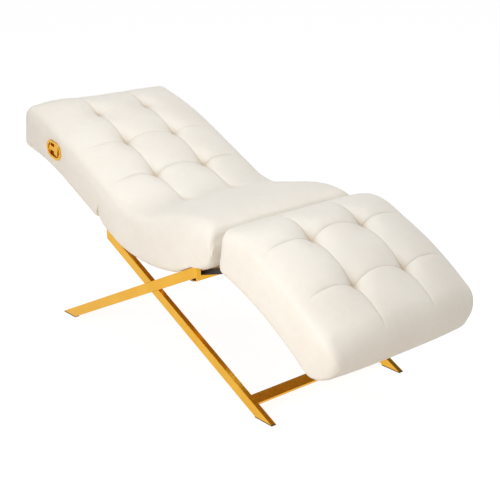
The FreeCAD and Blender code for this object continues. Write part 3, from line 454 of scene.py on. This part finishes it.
def mainSection(run):
    # the top and the underside of the back and seat, at a place along the top
    if run <= 0:
        top, heading = walk(mainCover["backTop"], -run)
        up = Vector((math.sin(heading), -math.cos(heading)))
        lip = mainCover["backLip"]
        if -run < lip[-1][0]:
            return top, between(lip, -run)
        return top, top - up * mainCover["thickness"]
    top = walk(mainCover["seatTop"], run)[0]
    lip = mainCover["seatLip"]
    startX = mainCover["seatTop"]["start"][0]
    share = (top.x - startX) / (mainCover["seatFront"] - startX)
    hullX = mainCover["hullFrom"] + share * (mainCover["hullTo"] - mainCover["hullFrom"])
    low = hullAt(mainCover, hullX, -1)
    joined = lip[-1][0] + mainCover["lipEase"]
    if run < joined:
        low = between(lip + [(joined, low)], run)
    return top, low


def legSection(run):
    top = walk(legCover["legTop"], run)[0]
    share = run / legCover["legEnd"]
    hullX = legCover["hullFrom"] + share * (legCover["hullTo"] - legCover["hullFrom"])
    return top, hullAt(legCover, hullX, 1)


def spread(low, high, marks, soft=()):
    # places from low to high, close together at each mark and less so at the soft ones
    near = [mark + side * step for mark in marks for step in shape["finest"] for side in (-1, 1)]
    near += [mark + side * step for mark in soft for step in shape["coarser"] for side in (-1, 1)]
    places = [low]
    for spot in sorted(near + [high]):
        gap = spot - places[-1]
        if spot > high or gap < shape["least"]:
            continue
        parts = math.ceil(gap / shape["spacing"])
        places += [places[-1] + gap * part / parts for part in range(1, parts + 1)]
    return places


def pillow(gap, reach):
    return max(0.0, 1 - gap / reach) ** quilt["power"]


def groove(gap):
    return quilt["groove"] * max(0.0, 1 - gap / quilt["grooveReach"]) ** quilt["groovePower"]


def drawnIn(cover, run, y):
    # how far the thread pulls the cover down, and whether a tuft holds it there
    side = abs(abs(y) - cover["column"])
    rowHold = 1 - smooth(*cover["rowFade"], abs(y))
    first, last = cover["columnRuns"]
    fadeIn, fadeOut = cover["columnFades"]
    columnHold = smooth(first - fadeIn, first, run) * (1 - smooth(last - fadeOut, last, run))
    column = columnHold * (cover["columnDepth"] * pillow(side, quilt["columnReach"]) + groove(side))
    rowDepth = tuft = closeness = 0.0
    for row in cover["rows"]:
        gap = abs(run - row["run"])
        drop = row["depth"] * pillow(gap, quilt["rowReach"]) + row["line"] * groove(gap)
        rowDepth = max(rowDepth, rowHold * drop)
        long = quilt["tuftLong"] * (quilt["headward"] if run < row["run"] else 1)
        share = math.exp(-math.hypot(gap / long, side / quilt["tuftWide"]))
        tuft = max(tuft, row["tuft"] * share)
        closeness = max(closeness, share)
    # a soft maximum, where a row crosses a column
    seam = (column ** 3 + rowDepth ** 3) ** (1 / 3)
    return seam + tuft, closeness > quilt["sewn"]


def bowed(cover, run, y):
    # a row's seam bows back a little between its tufts
    column = cover["column"]
    if abs(y) < column:
        share = math.cos(math.pi / 2 * y / column)
    else:
        outward = (abs(y) - column) / (cover["rowFade"][1] - column)
        share = quilt["outerBow"] * max(0.0, math.sin(math.pi * outward))
    pulls = [row["line"] * math.exp(-((run - row["run"]) / quilt["bowReach"]) ** 2) for row in cover["rows"]]
    return run - quilt["bow"] * share * max(pulls)


def crownAt(cover, run):
    # the top's rise along its middle, gone at the ends
    first, last = cover["crownFades"]
    return shape["crown"] * smooth(*first, run) * (1 - smooth(*last, run))


def nickAt(cover, run, zone, share):
    # the shade in the nick under the hinge
    if "nick" not in cover or zone not in ("flank", "lowCorner"):
        return 0.0
    depth = 1 - smooth(0, cover["nick"]["share"], share) if zone == "flank" else 1.0
    return depth * math.exp(-(run / cover["nick"]["reach"]) ** 2)


def softerAt(cover, run):
    # the wider rounding of the seat's upper edges
    if "softer" not in cover:
        return 0.0
    return cover["softer"]["by"] * smooth(*cover["softer"]["runs"], run)


def plumpAt(cover, run, y):
    if "plump" not in cover:
        return 0.0
    spot = cover["plump"]
    alongShare = (run - spot["run"]) / spot["reach"][0]
    acrossShare = (y - spot["y"]) / spot["reach"][1]
    return spot["rise"] * math.exp(-alongShare ** 2 - acrossShare ** 2)


def rakeAt(cover, run, y, rise):
    if "rake" not in cover:
        return 0.0
    rake = cover["rake"]
    corner = smooth(0, 1, rise) * (y / shape["halfWidth"]) ** rake["power"]
    return rake["by"] * corner * (1 - smooth(0, rake["fade"], run))


# the arms of the legs press up into the seat's lower edges
arms = {
    "foot": 676, "tip": 285, "tipHeight": 458, "outer": 309.5, "gap": 0.8, "flares": (1.3, 0.12),
    "inner": (266, 288), "root": (120, 170), "frontEnd": (430, 440), "rearEnd": (287, 300),
}


def armRoom(x, y):
    # the cover's least height over an arm, and how firmly the arm presses there
    reach = arms["foot"] + min(abs(x), arms["tip"])
    top = arms["tipHeight"] * reach / (arms["foot"] + arms["tip"])
    end = arms["frontEnd"] if x > 0 else arms["rearEnd"]
    hold = smooth(*arms["inner"], y) * smooth(*arms["root"], abs(x)) * (1 - smooth(*end, abs(x)))
    flare = arms["flares"][1 if x > 0 else 0]
    return top + arms["gap"] + flare * max(0.0, y - arms["outer"]), hold


def ringPlan(cover):
    halfTop = spread(0, shape["halfWidth"] - cover["topReach"], [cover["column"]])
    corner = [step / shape["cornerSteps"] for step in range(1, shape["cornerSteps"])]
    flank = [step / shape["sideSteps"] for step in range(shape["sideSteps"] + 1)]
    half = [("under", y) for y in halfTop]
    half += [("lowCorner", share) for share in corner]
    half += [("flank", share) for share in flank]
    half += [("topCorner", share) for share in corner]
    half += [("top", y) for y in reversed(halfTop)]
    return [(zone, share, 1) for zone, share in half] + [(zone, share, -1) for zone, share in half[-2::-1]]


def ringPoint(cover, section, station, zone, share, side):
    # one point of a section: its place, its distance round from the middle, its draw and its hold
    run = station["run"]
    half = shape["halfWidth"] - station["inset"]
    topR = cover["topRadius"] + softerAt(cover, run)
    topReach = cover["topReach"] + softerAt(cover, run)
    lowR = shape["lowRadius"]
    edge = half - topReach
    full = shape["halfWidth"] - cover["topReach"]
    bend = (topR + topReach) / 2
    ahead = station["ahead"]
    # the fine steps at the columns keep their place, and the rest spread to the edge
    inner = cover["column"] + shape["finest"][4]
    reach = edge if zone == "top" else half - lowR
    y = share if share < inner else inner + (share - inner) * (reach - inner) / (full - inner)
    top, low = section(bowed(cover, run, y) if zone == "top" else run)
    up = (top - low).normalized()
    out = Vector((up.y, -up.x)) * math.copysign(1, ahead)
    height = (top - low).length - station["topTrim"] - station["lowTrim"]
    shoulder = height - topR
    angle = share * math.pi / 2
    depth, sewn = 0.0, False
    if zone == "top":
        depth, sewn = drawnIn(cover, run + ahead, y)
        lift = height + crownAt(cover, run) * (1 - (y / edge) ** shape["crownPower"]) - depth
        across = y
    elif zone == "topCorner":
        y = edge + topReach * math.cos(angle)
        lift = shoulder + topR * math.sin(angle)
        across = edge + bend * (math.pi / 2 - angle)
    elif zone == "flank":
        y = half
        lift = lowR + (shoulder - lowR) * share
        across = edge + bend * math.pi / 2 + shoulder - lift
    elif zone == "lowCorner":
        y = half - lowR + lowR * math.sin(angle)
        lift = lowR - lowR * math.cos(angle)
        across = edge + bend * math.pi / 2 + shoulder
    else:
        lift = shape["underLift"] if y < shape["underHalf"] else 0.0
        across = edge + bend * math.pi / 2 + shoulder + lowR
    if zone in ("top", "topCorner"):
        lift += plumpAt(cover, run, y * side)
    lift = height / 2 + (lift - height / 2) * station["squeeze"]
    jut = abs(ahead) * (1 - cover.get("noseDraw", 0) * (y / half) ** 3)
    spot = low + up * (station["lowTrim"] + lift) + out * jut
    spot.x += rakeAt(cover, run, y, lift / height)
    if cover is mainCover:
        room, hold = armRoom(spot.x, y)
        spot.y += hold * max(0.0, room - spot.y)
    return place(spot.x, y * side, spot.y), across * side, depth, sewn


def station(run, ahead=0.0, inset=0.0, topTrim=0.0, lowTrim=0.0, squeeze=1.0):
    return {
        "run": run, "ahead": ahead, "inset": inset,
        "topTrim": topTrim, "lowTrim": lowTrim, "squeeze": squeeze,
    }


def roundTrim(radius, back):
    # how much a rounded edge takes off, so far back from the end
    rest = max(0.0, radius - back)
    return radius - math.sqrt(radius ** 2 - rest ** 2)


def flatEnd(run, way, rounds):
    # a squared end with rounded edges, closed along its middle
    widest = max(rounds.values())
    made = []
    for step in range(1, shape["endSteps"] + 1):
        back = widest * (1 - math.sin(step / shape["endSteps"] * math.pi / 2))
        trims = [roundTrim(rounds[edge], back) for edge in ("side", "top", "low")]
        made.append(station(run - way * back, 0, *trims))
    for squeeze in shape["endSqueezes"]:
        puff = way * shape["endPuff"] * (1 - squeeze ** 2)
        made.append(station(run, puff, rounds["side"], rounds["top"], rounds["low"], squeeze))
    return made


def coverMesh(cover, section, stations):
    plan = ringPlan(cover)
    bm = bmesh.new()
    bmesh.ops.create_grid(bm, x_segments=len(plan) - 1, y_segments=len(stations) - 1, size=1)
    layers = {name: bm.verts.layers.float.new(name) for name in ("along", "across", "creaseShade", "hold")}
    for vert in bm.verts:
        here = stations[round((vert.co.y + 1) / 2 * (len(stations) - 1))]
        zone, share, side = plan[round((vert.co.x + 1) / 2 * (len(plan) - 1))]
        vert.co, across, depth, sewn = ringPoint(cover, section, here, zone, share, side)
        pinned = sewn or zone in ("under", "lowCorner") or here["squeeze"] < shape["heldBelow"]
        vert[layers["along"]] = (here["run"] + here["ahead"]) * mm
        vert[layers["across"]] = across * mm
        # painted shade: how far the cover sinks at tufts and seams, and the nick under the hinge, kept for
        # the leather to darken
        shade = max(depth / quilt["deepest"], nickAt(cover, here["run"], zone, share))
        vert[layers["creaseShade"]] = min(1.0, shade)
        vert[layers["hold"]] = 1.0 if pinned else 0.0
    bmesh.ops.remove_doubles(bm, verts=bm.verts, dist=shape["weld"] * mm)
    bmesh.ops.holes_fill(bm, edges=[edge for edge in bm.edges if edge.is_boundary])
    bmesh.ops.recalc_face_normals(bm, faces=bm.faces)
    mesh = bpy.data.meshes.new(cover["name"])
    bm.to_mesh(mesh)
    bm.free()
    piece = bpy.data.objects.new(cover["name"], mesh)
    scene.collection.objects.link(piece)
    return piece


filling = {"pressure": 4.0, "frames": 20, "cap": 4 * mm, "mass": 0.25, "stretch": 18, "bend": 4}


def swell(cover, run):
    # the share of the swelling that stays
    if "calm" not in cover:
        return 1.0
    calm = cover["calm"]
    return 1 - math.exp(-((run - calm["run"]) / calm["reach"]) ** 2)


def stuff(piece, cover):
    # the foam swells the cover between its seams, by no more than the cap
    mesh = piece.data
    start = [vert.co.copy() for vert in mesh.vertices]
    pins = piece.vertex_groups.new(name="sewn")
    for vert, hold in zip(mesh.vertices, mesh.attributes["hold"].data):
        if hold.value > 0.5:
            pins.add([vert.index], 1.0, "REPLACE")
    cloth = piece.modifiers.new("stuffing", "CLOTH")
    cloth.settings.use_pressure = True
    cloth.settings.uniform_pressure_force = filling["pressure"]
    cloth.settings.effector_weights.gravity = 0
    cloth.settings.vertex_group_mass = "sewn"
    cloth.settings.mass = filling["mass"]
    cloth.settings.tension_stiffness = filling["stretch"]
    cloth.settings.compression_stiffness = filling["stretch"]
    cloth.settings.bending_stiffness = filling["bend"]
    cloth.point_cache.frame_start = 1
    cloth.point_cache.frame_end = filling["frames"]
    for number in range(1, filling["frames"] + 1):
        scene.frame_set(number)
    grown = piece.evaluated_get(bpy.context.evaluated_depsgraph_get()).data
    moved = [vert.co.copy() for vert in grown.vertices]
    piece.modifiers.clear()
    piece.vertex_groups.clear()
    scene.frame_set(1)
    farthest = 0.0
    for vert, before, after, along in zip(mesh.vertices, start, moved, mesh.attributes["along"].data):
        step = after - before
        farthest = max(farthest, step.length)
        if step.length > 0:
            step *= filling["cap"] * math.tanh(step.length / filling["cap"]) / step.length
        vert.co = before + step * swell(cover, along.value / mm)
    print(piece.name, "swells by up to", round(farthest / mm, 1), "mm before the cap")


def keepModifiers(piece):
    # what the modifiers make becomes the piece's own mesh
    done = bpy.data.meshes.new_from_object(piece.evaluated_get(bpy.context.evaluated_depsgraph_get()))
    piece.modifiers.clear()
    old = piece.data
    piece.data = done
    bpy.data.meshes.remove(old)
    done.name = piece.name
    for face in done.polygons:
        face.use_smooth = True


def refine(piece):
    smoother = piece.modifiers.new("smooth", "SUBSURF")
    smoother.levels = 1
    smoother.render_levels = 1
    keepModifiers(piece)


# The release handle's pocket in the back's near side

handle = {
    "centre": (-588, 710), "tilt": 12, "cup": (86, 54), "bezel": (104, 72),
    "face": -335.7, "ease": 48, "nearSide": 20, "play": 0.5, "floor": -299, "segments": 48, "sharp": 60,
}


def handleGap(x, z, size):
    # distance from an oval round the handle's centre, less than nothing inside it
    tilt = math.radians(handle["tilt"])
    dx = x - handle["centre"][0]
    dz = z - handle["centre"][1]
    alongOval = dx * math.cos(tilt) - dz * math.sin(tilt)
    upOval = dx * math.sin(tilt) + dz * math.cos(tilt)
    return math.hypot(max(0.0, abs(alongOval) - (size[0] - size[1]) / 2), upOval) - size[1] / 2


def flattenForBezel(piece):
    for vert in piece.data.vertices:
        if vert.co.y > (handle["face"] + handle["nearSide"]) * mm:
            continue
        gap = handleGap(vert.co.x / mm - frameX, vert.co.z / mm, handle["bezel"])
        hold = 1 - smooth(0, handle["ease"], gap)
        vert.co.y += hold * (handle["face"] * mm - vert.co.y)


def pocketTool():
    # an oval block, the room for the cup
    length, width = (side + 2 * handle["play"] for side in handle["cup"])
    slide = (length - width) / 2 * mm
    bm = bmesh.new()
    bmesh.ops.create_circle(bm, cap_ends=True, segments=handle["segments"], radius=width / 2 * mm)
    halfStep = Matrix.Rotation(math.pi / handle["segments"], 3, "Z")
    bmesh.ops.rotate(bm, verts=bm.verts, matrix=halfStep)
    for vert in bm.verts:
        vert.co.x += math.copysign(slide, vert.co.x)
    upright = Matrix.Rotation(math.radians(handle["tilt"]), 3, "Y") @ Matrix.Rotation(math.pi / 2, 3, "X")
    bmesh.ops.rotate(bm, verts=bm.verts, matrix=upright)
    centreX, centreZ = handle["centre"]
    bmesh.ops.translate(bm, verts=bm.verts, vec=place(centreX, handle["floor"], centreZ))
    raised = bmesh.ops.extrude_face_region(bm, geom=bm.faces[:])["geom"]
    tops = [item for item in raised if isinstance(item, bmesh.types.BMVert)]
    bmesh.ops.translate(bm, verts=tops, vec=(0, 2 * (handle["face"] - handle["floor"]) * mm, 0))
    bmesh.ops.recalc_face_normals(bm, faces=bm.faces)
    mesh = bpy.data.meshes.new("pocket tool")
    bm.to_mesh(mesh)
    bm.free()
    tool = bpy.data.objects.new("pocket tool", mesh)
    scene.collection.objects.link(tool)
    return tool


def cutPocket(piece):
    names = ("along", "across", "creaseShade")
    values = {name: [item.value for item in piece.data.attributes[name].data] for name in names}
    tree = KDTree(len(piece.data.vertices))
    for vert in piece.data.vertices:
        tree.insert(vert.co, vert.index)
    tree.balance()
    tool = pocketTool()
    cutter = piece.modifiers.new("pocket", "BOOLEAN")
    cutter.operation = "DIFFERENCE"
    cutter.solver = "EXACT"
    cutter.object = tool
    keepModifiers(piece)
    bpy.data.objects.remove(tool)
    piece.data.set_sharp_from_angle(angle=math.radians(handle["sharp"]))
    # the rim's new points take the seam marks of the nearest old ones
    for vert in piece.data.vertices:
        nearest = tree.find(vert.co)[1]
        for name in names:
            piece.data.attributes[name].data[vert.index].value = values[name][nearest]


def makeCover(cover, section, stations):
    piece = coverMesh(cover, section, stations)
    stuff(piece, cover)
    refine(piece)
    if cover is mainCover:
        flattenForBezel(piece)
        cutPocket(piece)
    piece.data.materials.clear()
    piece.data.materials.append(ivoryLeather(cover["name"].replace("_", " ") + " leather", cover))
    print(piece.name, len(piece.data.polygons), "faces")
    return piece


seamRuns = [row["run"] for row in mainCover["rows"] if row["line"]]
tuftRuns = [row["run"] for row in mainCover["rows"] if not row["line"]]
mainStart = mainCover["headEnd"] + max(mainCover["headRound"].values())
mainLast = mainCover["seatEnd"] - max(mainCover["frontRound"].values())
mainStations = flatEnd(mainCover["headEnd"], -1, mainCover["headRound"])[::-1]
for run in spread(mainStart, mainLast, seamRuns + [0], tuftRuns):
    mainStations.append(station(run))
mainStations += flatEnd(mainCover["seatEnd"], 1, mainCover["frontRound"])
mainPiece = makeCover(mainCover, mainSection, mainStations)
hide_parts("seat_cushion", "back_cushion")

seamRuns = [row["run"] for row in legCover["rows"]]
legStations = flatEnd(0, -1, legCover["rearRound"])[::-1]
for run in spread(max(legCover["rearRound"].values()), legCover["legEnd"], seamRuns):
    legStations.append(station(run))
top, low = legSection(legCover["legEnd"])
noseRadius = (top - low).length / 2
for step in range(1, legCover["noseSteps"] + 1):
    angle = step / legCover["noseSteps"] * math.pi / 2
    around = math.cos(angle) if step < legCover["noseSteps"] else 0.0
    inset = legCover["noseInset"] * (1 - around)
    legStations.append(station(legCover["legEnd"], noseRadius * math.sin(angle), inset, squeeze=around))
legPiece = makeCover(legCover, legSection, legStations)
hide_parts("leg_cushion")
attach(legPiece, "leg_rest")

# the one cover runs over the hinge between seat and back; the ends of the hinge zone on either side are
# worked out but not used, and the cover's placement is baked into its mesh
hinge = {"zone": 160, "pivot": (-264.4, 612.5)}
backward = math.radians(mainCover["backTop"]["heading"])
reach = Vector((math.cos(backward), math.sin(backward))) * hinge["zone"] / 2
seatSide = Vector(hinge["pivot"]) - reach
backSide = Vector(hinge["pivot"]) + reach
place(seatSide.x, 0, seatSide.y)
place(backSide.x, 0, backSide.y)
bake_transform(mainPiece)
print("covers done")


# Stage

studio = {
    "floorHalf": 40, "floorGrey": 0.26, "floorGlow": 0.88, "floorMirror": 0.8,
    "bounce": (0.74, 0.68, 0.61, 1), "fill": 0.43, "above": 0.13, "horizon": 1.0,
    "skyFade": (0.12, 0.6), "target": (0, 0, 0.5),
    "key": {"at": (1.0, -2.5, 1.3), "size": 1.8, "power": 37},
    "top": {"at": (-0.4, 0.7, 4.2), "size": 3.2, "power": 65},
    "front": {"at": (3.6, 0.2, 1.5), "size": 2.4, "power": 12},
}


def seen(f):
    # camera, mirror and glass rays, which show the pale background
    direct = f.node("LightPath", out="Is Camera Ray")
    mirror = f.node("LightPath", out="Is Glossy Ray")
    glass = f.node("LightPath", out="Is Transmission Ray")
    return direct.most(mirror).most(glass)


def paleFloor():
    material, f = newMaterial("pale floor")
    shown = f.node("BsdfDiffuse", None, {"Color": (studio["floorGrey"],) * 3 + (1,)})
    mirror = f.node("LightPath", out="Is Glossy Ray")
    strength = studio["floorGlow"] + mirror * (studio["floorMirror"] - studio["floorGlow"])
    glow = f.node("Emission", None, {"Color": (1, 1, 1, 1), "Strength": strength})
    both = f.node("AddShader", None, {0: shown, 1: glow})
    bounce = f.node("BsdfDiffuse", None, {"Color": studio["bounce"]})
    shader = f.node("MixShader", None, {0: seen(f), 1: bounce, 2: both})
    f.node("OutputMaterial", None, {"Surface": shader})
    return material


bm = bmesh.new()
bmesh.ops.create_grid(bm, x_segments=1, y_segments=1, size=studio["floorHalf"])
floorMesh = bpy.data.meshes.new("floor")
bm.to_mesh(floorMesh)
bm.free()
floorMesh.materials.append(paleFloor())
floor = bpy.data.objects.new("floor", floorMesh)
scene.collection.objects.link(floor)

world = bpy.data.worlds.new("studio")
scene.world = world
f = Finish(world)
direction = f.node("TexCoord", out="Generated")
rise = f.node("SeparateXYZ", None, {0: direction}, "Z")
backdrop = rise.ramp(*studio["skyFade"], studio["horizon"], studio["above"])
level = studio["fill"] + seen(f) * (backdrop - studio["fill"])
sky = f.node("Background", None, {"Color": (1, 1, 1, 1), "Strength": level})
f.node("OutputWorld", None, {"Surface": sky})


def softbox(name, box):
    data = bpy.data.lights.new(name, "AREA")
    data.shape = "DISK"
    data.size = box["size"]
    data.energy = box["power"]
    lamp = bpy.data.objects.new(name, data)
    lamp.location = box["at"]
    aim = Vector(studio["target"]) - Vector(box["at"])
    lamp.rotation_euler = aim.to_track_quat("-Z", "Y").to_euler()
    scene.collection.objects.link(lamp)


for side in ("key", "top", "front"):
    softbox(side + " softbox", studio[side])

view = {
    "lens": 80.85, "sensor": 36, "pitch": 19.408, "yaw": 51.443, "roll": 1.562,
    "at": (3202.8, -2399.3, 1773.6), "farthest": 200,
}
pitch, yaw, roll = (math.radians(view[key]) for key in ("pitch", "yaw", "roll"))
ahead = Vector((-math.sin(yaw), math.cos(yaw), 0))
aside = Vector((math.cos(yaw), math.sin(yaw), 0))
above = Vector((0, 0, 1))
forward = ahead * math.cos(pitch) - above * math.sin(pitch)
down = -ahead * math.sin(pitch) - above * math.cos(pitch)
right = aside * math.cos(roll) + down * math.sin(roll)
down = -aside * math.sin(roll) + down * math.cos(roll)
cameraData = bpy.data.cameras.new("camera")
cameraData.lens = view["lens"]
cameraData.sensor_width = view["sensor"]
cameraData.clip_end = view["farthest"]
camera = bpy.data.objects.new("camera", cameraData)
turned = Matrix((right, -down, -forward)).transposed().to_4x4()
camera.matrix_world = Matrix.Translation(place(*view["at"])) @ turned
scene.collection.objects.link(camera)
scene.camera = camera
print("stage and camera set")
